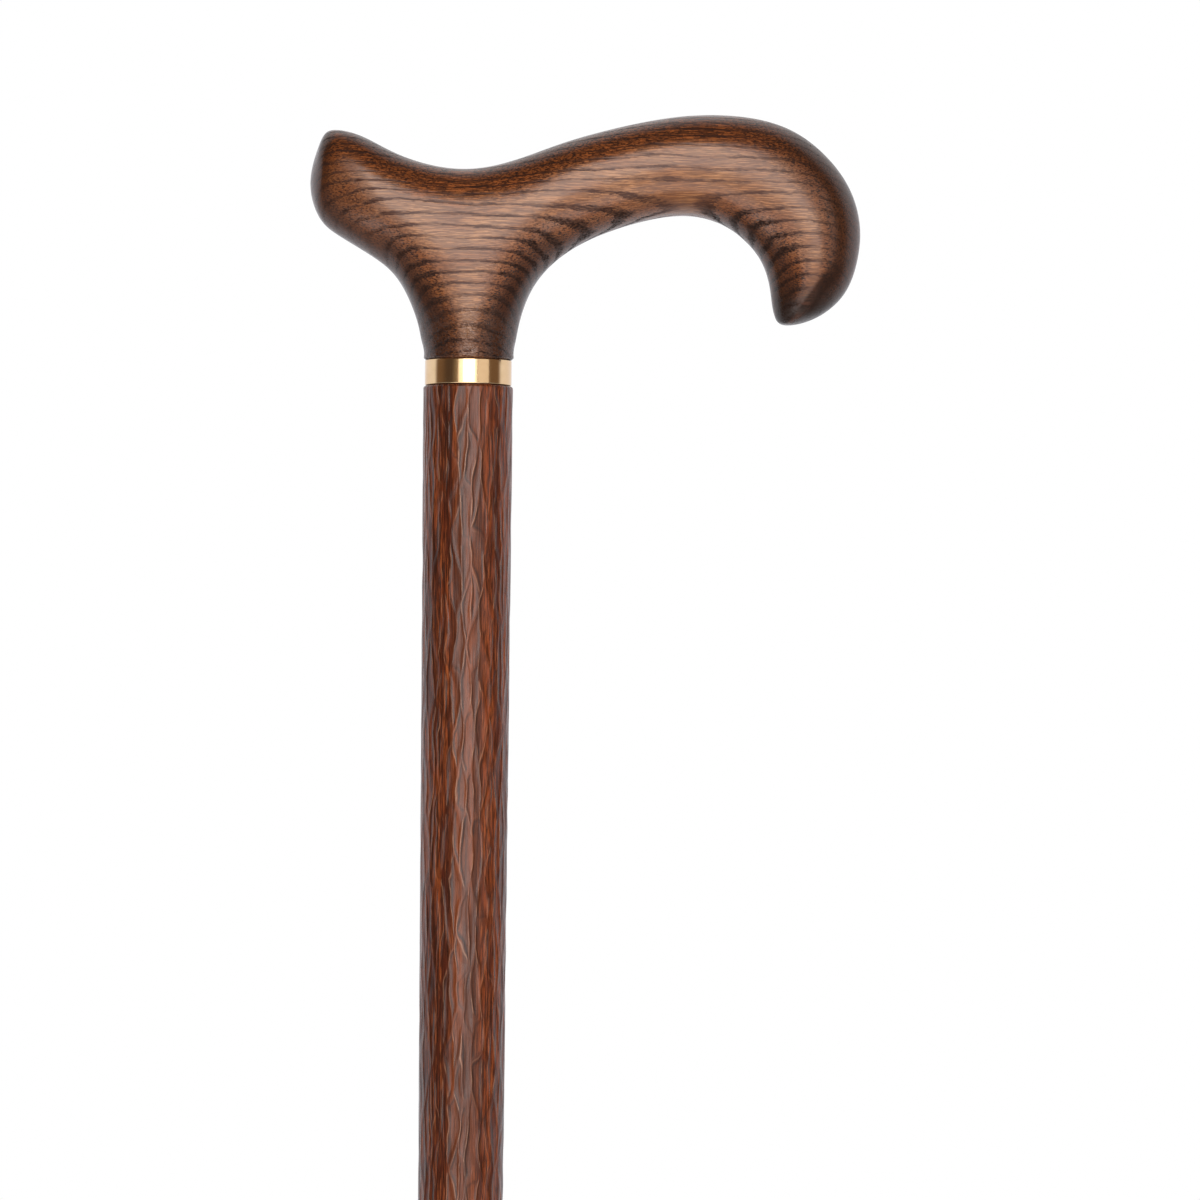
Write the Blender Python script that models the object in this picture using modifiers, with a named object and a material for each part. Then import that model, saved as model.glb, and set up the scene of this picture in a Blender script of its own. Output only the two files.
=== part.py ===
"""Derby walking stick: a carved wooden handle, a brass collar, a tapered wooden shaft and a rubber ferrule.

Units are metres, +Z is up. The origin is the centre of the ferrule's foot, on the shaft's axis.
+X runs from the shaft towards the nose of the handle, and the stick is symmetric about the XZ plane.
"""

import math

import bmesh
import bpy
import numpy as np
from mathutils import Matrix

# Fits
TOUCH_GAP = 0.0003  # left between two faces that bear on each other
GLUE_FILM = 0.0003  # round the threaded rod in its bores
SOCKET_FIT = 0.0003  # between the shaft's tip and the ferrule
ROUND_STEPS = 40  # facets round each turned piece

OVERALL_HEIGHT = 0.920  # foot to crown

# Shaft
SHAFT_TOP_RADIUS = 0.01045
SHAFT_TIP_RADIUS = 0.00780
SHOULDER_WIDTH = 0.00155
SHOULDER_ROUNDING = 0.0007
TIP_CHAMFER = 0.0010

# Collar, carried by a tenon turned on the shaft's top
COLLAR_HEIGHT = 0.0061
COLLAR_WALL = 0.0009
COLLAR_EDGE_ROUNDING = 0.0003

# Threaded rod, glued into the handle and the shaft
ROD_RADIUS = 0.0040
ROD_PITCH = 0.00125
THREAD_DEPTH = 0.00070
ROD_IN_HANDLE = 0.0280
ROD_IN_SHAFT = 0.0300
ROD_STEPS = 10

# Ferrule and the steel washer moulded into its floor
FERRULE_FLOOR = 0.0080
FOOT_RADIUS = 0.0160
FOOT_HEIGHT = 0.0045
FOOT_ROUNDING = 0.0012
FLARE_TOP = 0.0190
WAIST_LENGTH = 0.0066
WAIST_WALL = 0.0026
RIBBED_LENGTH = 0.0114
RIB_PITCH = 0.0032
RIB_GROOVE_DEPTH = 0.0007
MOUTH_WALL = 0.0033
MOUTH_ROUNDING = 0.0008
TREAD_PITCH = 0.0036
TREAD_GROOVE_WIDTH = 0.0014
TREAD_GROOVE_DEPTH = 0.0012
WASHER_RADIUS = 0.0090
WASHER_THICKNESS = 0.0015
WASHER_HOLE_RADIUS = 0.0020

# Handle. Its neck is flush with the shaft. Heights in the tables are above the handle's foot,
# which bears on the collar.
NECK_EDGE_CHAMFER = 0.0004
NECK_OVERRUN = 0.0050  # the neck is made this much too long and then cut off flat
HANDLE_SMOOTHING = 2

# Sections of the grip from the tail to the nose. Each row holds the section's point on the upper
# outline (x, z), its point on the lower outline (x, z), its half-width across the grip, how far its
# upper and its lower corners reach, where 0.707 is an ellipse and 1 a rectangle, and how far its
# widest line is from the middle towards the upper outline, where 1 is on it.
GRIP_SECTIONS = (
    ((-0.0350, 0.0503), (-0.0352, 0.0331), 0.0072, 0.750, 0.740, 0.00),
    ((-0.0322, 0.0534), (-0.0305, 0.0287), 0.0097, 0.745, 0.730, 0.00),
    ((-0.0252, 0.0520), (-0.0226, 0.0239), 0.0113, 0.750, 0.715, 0.00),
    ((-0.0158, 0.0474), (-0.0162, 0.0181), 0.0118, 0.765, 0.690, 0.02),
    ((-0.0019, 0.0445), (-0.0006, 0.0123), 0.0120, 0.765, 0.735, 0.04),
    ((0.0110, 0.0469), (0.0156, 0.0181), 0.0121, 0.760, 0.690, 0.05),
    ((0.0213, 0.0507), (0.0239, 0.0260), 0.0122, 0.750, 0.710, 0.05),
    ((0.0329, 0.0541), (0.0345, 0.0309), 0.0123, 0.745, 0.730, 0.05),
    ((0.0446, 0.0566), (0.0448, 0.0336), 0.0124, 0.740, 0.740, 0.06),
    ((0.0550, 0.0576), (0.0530, 0.0338), 0.0124, 0.740, 0.740, 0.06),
    ((0.0655, 0.0570), (0.0595, 0.0317), 0.0122, 0.740, 0.735, 0.08),
    ((0.0751, 0.0541), (0.0640, 0.0284), 0.0118, 0.735, 0.730, 0.10),
    ((0.0828, 0.0484), (0.0672, 0.0247), 0.0113, 0.725, 0.720, 0.10),
    ((0.0882, 0.0413), (0.0691, 0.0207), 0.0108, 0.715, 0.710, 0.10),
    ((0.0908, 0.0334), (0.0700, 0.0169), 0.0101, 0.705, 0.700, 0.08),
    ((0.0907, 0.0255), (0.0705, 0.0133), 0.0091, 0.700, 0.695, 0.04),
    ((0.0882, 0.0174), (0.0711, 0.0109), 0.0075, 0.705, 0.705, 0.00),
    ((0.0834, 0.0121), (0.0728, 0.0089), 0.0051, 0.740, 0.740, 0.00),
)
NECK_SECTION = 4  # the grip section that stands over the neck; its lower point is inside the wood
TAIL_END = (-0.0373, 0.0415)
NOSE_END = (0.0778, 0.0093)
HIP_HEIGHT = 0.0161  # where the neck's flanks run into the grip, over the shaft's axis
HIP_HALF_WIDTH = 0.0113

# Rings of the neck, from the grip down: height, then how far the neck's tail side, nose side and
# flanks stand out past the shaft's top.
NECK_RINGS = (
    (0.0095, 0.0018, 0.0016, 0.0004),
    (0.0045, 0.0006, 0.0006, 0.0001),
    (0.0000, 0.0000, 0.0002, 0.0000),
)

# Radii that follow from the shaft's
NECK_RADIUS = SHAFT_TOP_RADIUS
TENON_RADIUS = SHAFT_TOP_RADIUS - SHOULDER_WIDTH

# Heights above the floor, which leave the shaft its length
FERRULE_HEIGHT = FLARE_TOP + WAIST_LENGTH + RIBBED_LENGTH
WASHER_Z = FERRULE_FLOOR + TOUCH_GAP
TIP_Z = WASHER_Z + WASHER_THICKNESS + TOUCH_GAP
HANDLE_Z = OVERALL_HEIGHT - max(section[0][1] for section in GRIP_SECTIONS)
SHOULDER_Z = HANDLE_Z - COLLAR_HEIGHT
SHAFT_LENGTH = SHOULDER_Z - TIP_Z  # tip to shoulder


def clear_scene():
    for obj in list(bpy.data.objects):
        bpy.data.objects.remove(obj)


def make_collection(name):
    collection = bpy.data.collections.new(name)
    bpy.context.scene.collection.children.link(collection)
    return collection


def make_material(name, colour, roughness, metallic=0.0):
    material = bpy.data.materials.new(name)
    material.use_nodes = True
    shader = material.node_tree.nodes["Principled BSDF"]
    shader.inputs["Base Color"].default_value = (*colour, 1.0)
    shader.inputs["Roughness"].default_value = roughness
    shader.inputs["Metallic"].default_value = metallic
    return material


def make_object(name, mesh, collection, material=None):
    obj = bpy.data.objects.new(name, mesh)
    collection.objects.link(obj)
    if material:
        obj.data.materials.append(material)
    return obj


def rounded(points):
    """The outline (r, z, rounding) with each corner replaced by an arc of its rounding."""
    outline = []
    for i, (r, z, rounding) in enumerate(points):
        corner = np.array((r, z))
        if not rounding:
            outline.append((r, z))
            continue
        before = np.array(points[i - 1][:2]) - corner
        after = np.array(points[(i + 1) % len(points)][:2]) - corner
        before /= np.linalg.norm(before)
        after /= np.linalg.norm(after)
        half = math.acos(float(np.clip(before @ after, -1, 1))) / 2
        middle = (before + after) / np.linalg.norm(before + after)
        centre = corner + middle * rounding / math.sin(half)
        reach = rounding / math.tan(half)
        start = corner + before * reach - centre
        end = corner + after * reach - centre
        sweep = math.pi - 2 * half
        steps = max(1, round(sweep / math.radians(45)))
        for k in range(steps + 1):
            t = sweep * k / steps
            arc = (start * math.sin(sweep - t) + end * math.sin(t)) / math.sin(sweep)
            outline.append(tuple(centre + arc))
    return outline


def turned(name, outline, collection, material, closed=False, steps=ROUND_STEPS):
    """A turned piece: the outline, at +X and running down its outer side, swept round Z."""
    mesh = bpy.data.meshes.new(name)
    count = len(outline)
    edges = [(i, i + 1) for i in range(count - 1)]
    if closed:
        edges.append((count - 1, 0))
    mesh.from_pydata([(r, 0.0, z) for r, z in outline], edges, [])
    obj = make_object(name, mesh, collection, material)
    screw = obj.modifiers.new("Lathe", "SCREW")
    screw.axis = "Z"
    screw.steps = steps
    screw.render_steps = steps
    screw.use_merge_vertices = True
    screw.merge_threshold = 0.00001
    screw.use_smooth_shade = True
    return obj


def cylinder(name, radius, bottom, top, collection, steps=ROUND_STEPS):
    bpy.ops.mesh.primitive_cylinder_add(vertices=steps, radius=radius, depth=top - bottom)
    obj = bpy.context.object
    obj.name = name
    obj.data.transform(Matrix.Translation((0.0, 0.0, (top + bottom) / 2)))
    for other in obj.users_collection:
        other.objects.unlink(obj)
    collection.objects.link(obj)
    return obj


def as_cutter(obj):
    obj.hide_render = True
    obj.display_type = "WIRE"
    return obj


def boolean(obj, other, operation):
    modifier = obj.modifiers.new(f"{operation.title()} {other.name}", "BOOLEAN")
    modifier.operation = operation
    modifier.solver = "EXACT"
    modifier.object = other


def shaft_radius(height):
    """Radius of the tapered shaft at a height above its tip."""
    return SHAFT_TIP_RADIUS + (SHAFT_TOP_RADIUS - SHAFT_TIP_RADIUS) * height / SHAFT_LENGTH


def make_shaft(collection, material):
    """Shaft with its tip at z = 0: taper, shoulder, a tenon for the collar and a blind bore."""
    tenon_top = SHAFT_LENGTH + COLLAR_HEIGHT - TOUCH_GAP
    bore_radius = ROD_RADIUS + GLUE_FILM
    bore_floor = SHAFT_LENGTH - ROD_IN_SHAFT - TOUCH_GAP
    outline = rounded(
        (
            (0.0, bore_floor, 0),
            (bore_radius, bore_floor, 0),
            (bore_radius, tenon_top, 0),
            (TENON_RADIUS, tenon_top, 0),
            (TENON_RADIUS, SHAFT_LENGTH, 0),
            (SHAFT_TOP_RADIUS, SHAFT_LENGTH, SHOULDER_ROUNDING),
            (shaft_radius(TIP_CHAMFER), TIP_CHAMFER, 0),
            (SHAFT_TIP_RADIUS - TIP_CHAMFER, 0.0, 0),
            (0.0, 0.0, 0),
        )
    )
    return turned("shaft", outline, collection, material)


def make_collar(collection, material):
    """Brass band with its lower edge at z = 0."""
    height = COLLAR_HEIGHT - 2 * TOUCH_GAP
    inside = TENON_RADIUS + TOUCH_GAP
    outside = inside + COLLAR_WALL
    rounding = min(COLLAR_EDGE_ROUNDING, COLLAR_WALL / 3)
    outline = rounded(
        (
            (inside, height, rounding),
            (outside, height, rounding),
            (outside, 0.0, rounding),
            (inside, 0.0, rounding),
        )
    )
    return turned("collar_band", outline, collection, material, closed=True)


def make_rod(collection, cutters, material):
    """Steel threaded rod with its lower end at z = 0: one helical ridge, cut off flat at both ends."""
    length = ROD_IN_SHAFT + COLLAR_HEIGHT + ROD_IN_HANDLE
    root = ROD_RADIUS - THREAD_DEPTH
    turns = math.ceil(length / ROD_PITCH) + 2
    start = (length - turns * ROD_PITCH) / 2
    mesh = bpy.data.meshes.new("threaded_rod")
    flanks = ((root, 1.0), (ROD_RADIUS, 0.5), (root, 0.0))
    corners = [(r, 0.0, start + step * ROD_PITCH) for r, step in flanks]
    mesh.from_pydata(corners, [(0, 1), (1, 2)], [])
    rod = make_object("threaded_rod", mesh, collection, material)
    screw = rod.modifiers.new("Thread", "SCREW")
    screw.axis = "Z"
    screw.steps = ROD_STEPS
    screw.render_steps = ROD_STEPS
    screw.screw_offset = ROD_PITCH
    screw.iterations = turns
    evaluated = rod.evaluated_get(bpy.context.evaluated_depsgraph_get())
    swept = bpy.data.meshes.new_from_object(evaluated)
    rod.modifiers.clear()
    net = bmesh.new()
    net.from_mesh(swept)
    bmesh.ops.remove_doubles(net, verts=net.verts, dist=0.00001)
    close_ends(net, (start - ROD_PITCH, start + (turns + 2) * ROD_PITCH), length / 2)
    net.to_mesh(swept)
    net.free()
    rod.data = swept
    trim = as_cutter(cylinder("rod_length_cutter", 2 * ROD_RADIUS, 0.0, length, cutters))
    boolean(rod, trim, "INTERSECT")
    return rod


def close_ends(net, heights, middle):
    """Closes the lower and the upper open end of a tube, each with a fan to a point on the axis."""
    rim = [edge for edge in net.edges if edge.is_boundary]
    for height in heights:
        point = net.verts.new((0.0, 0.0, height))
        for edge in rim:
            if (edge.verts[0].co.z > middle) == (height > middle):
                net.faces.new((*edge.verts, point))
    bmesh.ops.recalc_face_normals(net, faces=net.faces)


def make_ferrule(collection, material):
    """Rubber ferrule standing on z = 0, with a socket for the tip and an undercut for the washer."""
    undercut = WASHER_RADIUS + TOUCH_GAP

    def socket_radius(z):
        return shaft_radius(z - TIP_Z) + SOCKET_FIT

    mouth_outside = socket_radius(FERRULE_HEIGHT) + MOUTH_WALL
    waist = socket_radius(FLARE_TOP) + WAIST_WALL
    outline = [
        (0.0, FERRULE_FLOOR, 0),
        (undercut, FERRULE_FLOOR, 0),
        (undercut, TIP_Z, 0),
        (socket_radius(TIP_Z), TIP_Z, 0),
        (socket_radius(FERRULE_HEIGHT), FERRULE_HEIGHT, MOUTH_ROUNDING / 2),
        (mouth_outside, FERRULE_HEIGHT, MOUTH_ROUNDING),
    ]
    for i in range(int(RIBBED_LENGTH / RIB_PITCH)):
        z = FERRULE_HEIGHT - (i + 1) * RIB_PITCH
        outline.append((mouth_outside, z + RIB_PITCH / 5, 0))
        outline.append((mouth_outside - RIB_GROOVE_DEPTH, z, 0))
        outline.append((mouth_outside, z - RIB_PITCH / 5, 0))
    outline.append((mouth_outside, FERRULE_HEIGHT - RIBBED_LENGTH - RIB_PITCH / 3, 0))
    outline.append((waist, FLARE_TOP, 0))
    outline.extend(foot_flare(waist))
    outline.append((FOOT_RADIUS, FOOT_HEIGHT, FOOT_ROUNDING))
    outline.append((FOOT_RADIUS, 0.0, FOOT_ROUNDING / 2))
    grooves = int((FOOT_RADIUS - FOOT_ROUNDING - TREAD_GROOVE_WIDTH) / TREAD_PITCH)
    for i in reversed(range(grooves)):
        middle = (i + 1) * TREAD_PITCH
        inner = middle - TREAD_GROOVE_WIDTH / 2
        outer = middle + TREAD_GROOVE_WIDTH / 2
        outline.append((outer, 0.0, 0))
        outline.append((outer, TREAD_GROOVE_DEPTH, 0))
        outline.append((inner, TREAD_GROOVE_DEPTH, 0))
        outline.append((inner, 0.0, 0))
    outline.append((0.0, 0.0, 0))
    return turned("ferrule", rounded(outline), collection, material)


def foot_flare(waist, steps=4):
    """The concave bell between the ferrule's waist and its foot, as a quarter of an ellipse."""
    across = FOOT_RADIUS - waist
    up = FLARE_TOP - FOOT_HEIGHT
    for i in range(1, steps):
        angle = math.pi / 2 * i / steps
        yield (FOOT_RADIUS - across * math.cos(angle), FLARE_TOP - up * math.sin(angle), 0)


def make_washer(collection, material):
    """Steel washer with its lower face at z = 0."""
    outline = (
        (WASHER_HOLE_RADIUS, WASHER_THICKNESS),
        (WASHER_RADIUS, WASHER_THICKNESS),
        (WASHER_RADIUS, 0.0),
        (WASHER_HOLE_RADIUS, 0.0),
    )
    return turned("ferrule_washer", outline, collection, material, closed=True)


def section_ring(upper, lower, half_width, top_corner, under_corner, lean):
    """Eight points round a grip section: upper, then down the -Y side to lower, and back up."""
    upper = np.array((upper[0], 0.0, upper[1]))
    lower = np.array((lower[0], 0.0, lower[1]))
    widest = (upper + lower) / 2 + lean * (upper - lower) / 2
    up = upper - widest
    down = lower - widest
    side = np.array((0.0, -half_width, 0.0))
    return [
        upper,
        widest + top_corner * (up + side),
        widest + side,
        widest + under_corner * (down + side),
        lower,
        widest + under_corner * (down - side),
        widest - side,
        widest + top_corner * (up - side),
    ]


def neck_ring(height, tail_side, nose_side, flanks):
    """Eight points round the neck, from the tail side round the -Y flank to the nose side."""
    left = -(NECK_RADIUS + tail_side)
    right = NECK_RADIUS + nose_side
    flank = NECK_RADIUS + flanks
    middle = (left + right) / 2
    half = (right - left) / 2
    return [
        np.array((middle - half * math.cos(a), -flank * math.sin(a), height))
        for a in (math.pi / 4 * k for k in range(8))
    ]


def cap(faces, ring, centre, outward):
    """Closes a ring of eight with four quads that meet at its centre vertex."""
    for k in range(0, 8, 2):
        quad = (centre, ring[k], ring[(k + 1) % 8], ring[(k + 2) % 8])
        faces.append(quad if outward else quad[::-1])


def handle_surface_points():
    """Points that the handle's surface passes through, and the quads of the net that joins them."""
    points = []
    faces = []

    def add(new):
        points.extend(new)
        return list(range(len(points) - len(new), len(points)))

    rings = [add(section_ring(*section)) for section in GRIP_SECTIONS]
    under = rings[NECK_SECTION]
    for index, side in ((3, -1), (5, 1)):
        points[under[index]] = np.array((0.0, side * HIP_HALF_WIDTH, HIP_HEIGHT))
    tail = add([np.array((TAIL_END[0], 0.0, TAIL_END[1]))])[0]
    nose = add([np.array((NOSE_END[0], 0.0, NOSE_END[1]))])[0]
    cap(faces, rings[0], tail, False)
    cap(faces, rings[-1], nose, True)
    for i in range(len(rings) - 1):
        over_neck = NECK_SECTION in (i, i + 1)
        for k in range(8):
            if over_neck and k in (3, 4):
                continue
            after = (k + 1) % 8
            faces.append((rings[i][k], rings[i][after], rings[i + 1][after], rings[i + 1][k]))

    behind = rings[NECK_SECTION - 1]
    ahead = rings[NECK_SECTION + 1]
    above = [behind[4], behind[3], under[3], ahead[3], ahead[4], ahead[5], under[5], behind[5]]
    cut_off = (-NECK_OVERRUN, 0.0, 0.0, 0.0)
    for ring in (*NECK_RINGS, cut_off):
        below = add(neck_ring(*ring))
        for k in range(8):
            after = (k + 1) % 8
            faces.append((above[k], below[k], below[after], above[after]))
        above = below
    foot = add([np.array((0.0, 0.0, -NECK_OVERRUN))])[0]
    cap(faces, above, foot, True)
    faces = drop_unused(points, faces, under[4])
    return np.delete(np.array(points), under[4], axis=0), faces


def drop_unused(points, faces, unused):
    """The faces renumbered for when one unused point is taken out."""
    return [tuple(i - (i > unused) for i in face) for face in faces]


def limit_of(points, faces):
    """Where Catmull-Clark subdivision carries the vertices of a closed net of quads."""
    count = len(points)
    centres = [sum(points[i] for i in face) / 4 for face in faces]
    around = [[] for _ in range(count)]
    beside = {}
    for face, centre in zip(faces, centres):
        for k, i in enumerate(face):
            j = face[(k + 1) % 4]
            around[i].append(centre)
            beside.setdefault((min(i, j), max(i, j)), []).append(centre)
    middles = [[] for _ in range(count)]
    edge_points = [[] for _ in range(count)]
    for (i, j), (one, other) in beside.items():
        for end in (i, j):
            middles[end].append((points[i] + points[j]) / 2)
            edge_points[end].append((points[i] + points[j] + one + other) / 4)
    limit = []
    for i in range(count):
        n = len(around[i])
        moved = (sum(around[i]) / n + 2 * sum(middles[i]) / n + (n - 3) * points[i]) / n
        total = n * n * moved + 4 * sum(edge_points[i]) + sum(around[i])
        limit.append(total / (n * (n + 5)))
    return np.array(limit)


def make_handle(collection, cutters, material):
    """Carved handle with its foot at z = 0: a subdivided cage, cut off flat and bored for the rod."""
    surface, faces = handle_surface_points()
    weights = limit_of(np.eye(len(surface)), faces)
    cage = np.linalg.solve(weights, surface)
    mesh = bpy.data.meshes.new("handle")
    mesh.from_pydata(cage.tolist(), [], faces)
    handle = make_object("handle", mesh, collection, material)
    handle.data.shade_smooth()
    subdivision = handle.modifiers.new("Carved form", "SUBSURF")
    subdivision.levels = HANDLE_SMOOTHING
    subdivision.render_levels = HANDLE_SMOOTHING

    clear = 2 * NECK_RADIUS
    drop = -2 * NECK_OVERRUN
    foot_outline = (
        (0.0, 0.0),
        (NECK_RADIUS - NECK_EDGE_CHAMFER, 0.0),
        (NECK_RADIUS + NECK_EDGE_CHAMFER, 2 * NECK_EDGE_CHAMFER),
        (clear, 2 * NECK_EDGE_CHAMFER),
        (clear, drop),
        (0.0, drop),
    )
    foot_cutter = as_cutter(turned("handle_foot_cutter", foot_outline, cutters, None))
    boolean(handle, foot_cutter, "DIFFERENCE")
    bore_top = ROD_IN_HANDLE + TOUCH_GAP
    bore = cylinder("handle_bore_cutter", ROD_RADIUS + GLUE_FILM, drop, bore_top, cutters)
    boolean(handle, as_cutter(bore), "DIFFERENCE")
    return handle


def build():
    clear_scene()
    parts = make_collection("Derby walking stick")
    cutters = make_collection("Cutters")

    handle_wood = make_material("Handle wood, brown stain", (0.150, 0.055, 0.022), 0.42)
    shaft_wood = make_material("Shaft wood, red-brown stain", (0.110, 0.032, 0.013), 0.45)
    brass = make_material("Polished brass", (0.830, 0.560, 0.250), 0.12, 1.0)
    steel = make_material("Zinc-plated steel", (0.560, 0.560, 0.540), 0.35, 1.0)
    rubber = make_material("Black rubber", (0.022, 0.022, 0.023), 0.75)

    stick = bpy.data.objects.new("stick", None)
    ferrule_unit = bpy.data.objects.new("ferrule_unit", None)
    for empty in (stick, ferrule_unit):
        parts.objects.link(empty)
    ferrule_unit.parent = stick

    ferrule = make_ferrule(parts, rubber)
    washer = make_washer(parts, steel)
    shaft = make_shaft(parts, shaft_wood)
    collar = make_collar(parts, brass)
    rod = make_rod(parts, cutters, steel)
    handle = make_handle(parts, cutters, handle_wood)

    for piece in (ferrule, washer):
        piece.parent = ferrule_unit
    for piece in (shaft, collar, rod, handle):
        piece.parent = stick
    washer.location.z = WASHER_Z
    shaft.location.z = TIP_Z
    collar.location.z = SHOULDER_Z + TOUCH_GAP
    rod.location.z = SHOULDER_Z - ROD_IN_SHAFT
    handle.location.z = HANDLE_Z
    for cutter in cutters.objects:
        cutter.parent = rod if cutter.name == "rod_length_cutter" else handle


build()
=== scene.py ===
import math

import bpy
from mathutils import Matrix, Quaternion, Vector


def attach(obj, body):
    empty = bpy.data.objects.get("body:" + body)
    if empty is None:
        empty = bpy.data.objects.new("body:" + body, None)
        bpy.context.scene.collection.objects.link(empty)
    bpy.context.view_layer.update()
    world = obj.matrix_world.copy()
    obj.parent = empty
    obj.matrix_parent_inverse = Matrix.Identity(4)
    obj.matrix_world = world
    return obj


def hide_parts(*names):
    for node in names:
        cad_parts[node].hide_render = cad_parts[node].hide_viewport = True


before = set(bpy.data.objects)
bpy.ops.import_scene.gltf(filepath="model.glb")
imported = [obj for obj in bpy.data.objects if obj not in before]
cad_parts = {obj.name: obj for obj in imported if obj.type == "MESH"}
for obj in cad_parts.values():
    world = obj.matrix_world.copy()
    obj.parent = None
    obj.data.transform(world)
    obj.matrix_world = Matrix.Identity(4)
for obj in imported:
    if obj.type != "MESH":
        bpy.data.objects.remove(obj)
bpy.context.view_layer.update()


# Shaft
# One tapered hardwood rod. It is turned, scalloped all round with long strokes of a small
# gouge, stained red-brown and lacquered. Its top is turned down to a tenon for the collar and
# bored for the threaded rod, and its tip is left smooth for the ferrule.

SHAFT_TOP_RADIUS = 0.01045
SHAFT_TIP_RADIUS = 0.00780
SHAFT_TIP_Z = 0.0101
SHOULDER_Z = 0.8563
SHOULDER_ROUNDING = 0.0007
TENON_RADIUS = 0.0089
TENON_TOP_Z = 0.8621
BORE_RADIUS = 0.0043
BORE_FLOOR_Z = 0.8260
TIP_CHAMFER = 0.0010
SHAFT_STEPS = 200
SHAFT_ROWS = 470

GOUGE_WIDTH = 0.0022
GOUGE_LENGTH = 0.0130
GOUGE_DEPTH = 0.00014
STROKES_TOP_FADE = (SHOULDER_Z - 0.0016, SHOULDER_Z - 0.0006)
STROKES_TIP_FADE = (0.042, 0.060)
STROKES_START_RADIUS = (0.0070, 0.0071)
STROKE_WANDER_MM = 2.4
STROKE_LIFT_MM = 11.0
WEAR_GLINT_BESIDE_MM = 0.35
SHADE_BESIDE_MM = -0.36

MM_PER_METRE = 1000.0
WELD_DISTANCE = 1e-6


class Wire:
    """A socket of a node tree that takes part in sums written as plain Python."""

    def __init__(self, tree, socket=None):
        self.tree = tree
        self.socket = socket

    def node(self, kind, settings, sockets, output=0):
        """Adds a node: its settings first, then the values or links of its sockets."""
        node = self.tree.nodes.new(kind)
        for name, value in settings.items():
            setattr(node, name, value)
        for name, value in sockets.items():
            if isinstance(value, Wire):
                self.tree.links.new(value.socket, node.inputs[name])
            else:
                node.inputs[name].default_value = value
        return Wire(self.tree, node.outputs[output])

    def sums(self, operation, *values):
        """Maths on values, in the order in which they are given."""
        return self.node("ShaderNodeMath", {"operation": operation}, dict(enumerate(values)))

    def __add__(self, other):
        return self.sums("ADD", self, other)

    def __sub__(self, other):
        return self.sums("SUBTRACT", self, other)

    def __mul__(self, other):
        return self.sums("MULTIPLY", self, other)

    def __truediv__(self, other):
        return self.sums("DIVIDE", self, other)

    def __radd__(self, other):
        return self.sums("ADD", other, self)

    def __rsub__(self, other):
        return self.sums("SUBTRACT", other, self)

    def __rmul__(self, other):
        return self.sums("MULTIPLY", other, self)

    def __rtruediv__(self, other):
        return self.sums("DIVIDE", other, self)

    def __abs__(self):
        return self.sums("ABSOLUTE", self)

    def most(self, other):
        return self.sums("MAXIMUM", self, other)

    def least(self, other):
        return self.sums("MINIMUM", self, other)

    def rise(self, start, end):
        """0 below start, 1 above end, and smooth between them."""
        ramp = {"interpolation_type": "SMOOTHSTEP"}
        sockets = {"Value": self, "From Min": start, "From Max": end}
        return self.node("ShaderNodeMapRange", ramp, sockets)

    def blend(self, first, second):
        """The first colour where this is 0, the second where it is 1."""
        settings = {"data_type": "RGBA", "clamp_factor": True}
        factor, colour_a, colour_b, result = 0, 6, 7, 2
        sockets = {factor: self, colour_a: first, colour_b: second}
        return self.node("ShaderNodeMix", settings, sockets, result)

    def vector(self, operation, sockets=None, output=0):
        """Vector maths on this place or direction, which is the first of its sockets."""
        sockets = {0: self, **(sockets or {})}
        return self.node("ShaderNodeVectorMath", {"operation": operation}, sockets, output)

    def scaled(self, factor):
        return self.vector("SCALE", {"Scale": factor})

    def length(self):
        return self.vector("LENGTH", output="Value")

    def part(self, axis):
        return self.node("ShaderNodeSeparateXYZ", {}, {0: self}, axis)

    def grain(self, sizes, detail=2.0, roughness=0.5, seed=0.0):
        """Noise about a place, whose blotches have these sizes along X, Y and Z."""
        place = self.vector("DIVIDE", {1: sizes})
        place = place.vector("ADD", {1: (seed, seed * 1.7, seed * 0.6)})
        sockets = {"Vector": place, "Scale": 1.0, "Detail": detail, "Roughness": roughness}
        return self.node("ShaderNodeTexNoise", {}, sockets)


def colour(red, green, blue):
    """A colour as a picture gives it, 0 to 255, turned into light."""
    return tuple(
        c / 12.92 if c <= 0.04045 else ((c + 0.055) / 1.055) ** 2.4
        for c in (red / 255, green / 255, blue / 255)
    ) + (1.0,)


def with_stains_and_painted_light(wood, stains):
    """A colour under stains and painted light and shade, each a share of the surface and the
    colour that covers it.
    """
    for share, stain in stains:
        wood = share.blend(wood, stain)
    return wood


def rounded(outline, closed=False):
    """The outline's points, with an arc in place of each corner that has a rounding."""
    points = []
    count = len(outline)
    for i, (radius, height, rounding) in enumerate(outline):
        corner = Vector((radius, height))
        if not rounding or (not closed and i in (0, count - 1)):
            points.append(tuple(corner))
            continue
        before = (Vector(outline[i - 1][:2]) - corner).normalized()
        after = (Vector(outline[(i + 1) % count][:2]) - corner).normalized()
        half = before.angle(after) / 2
        middle = corner + (before + after).normalized() * rounding / math.sin(half)
        start = corner + before * rounding / math.tan(half) - middle
        end = corner + after * rounding / math.tan(half) - middle
        steps = max(2, round((math.pi - 2 * half) / math.radians(15)))
        for step in range(steps + 1):
            points.append(tuple(middle + start.slerp(end, step / steps) * rounding))
    return points + points[:1] if closed else points


def deselect():
    bpy.ops.object.select_all(action="DESELECT")


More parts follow.
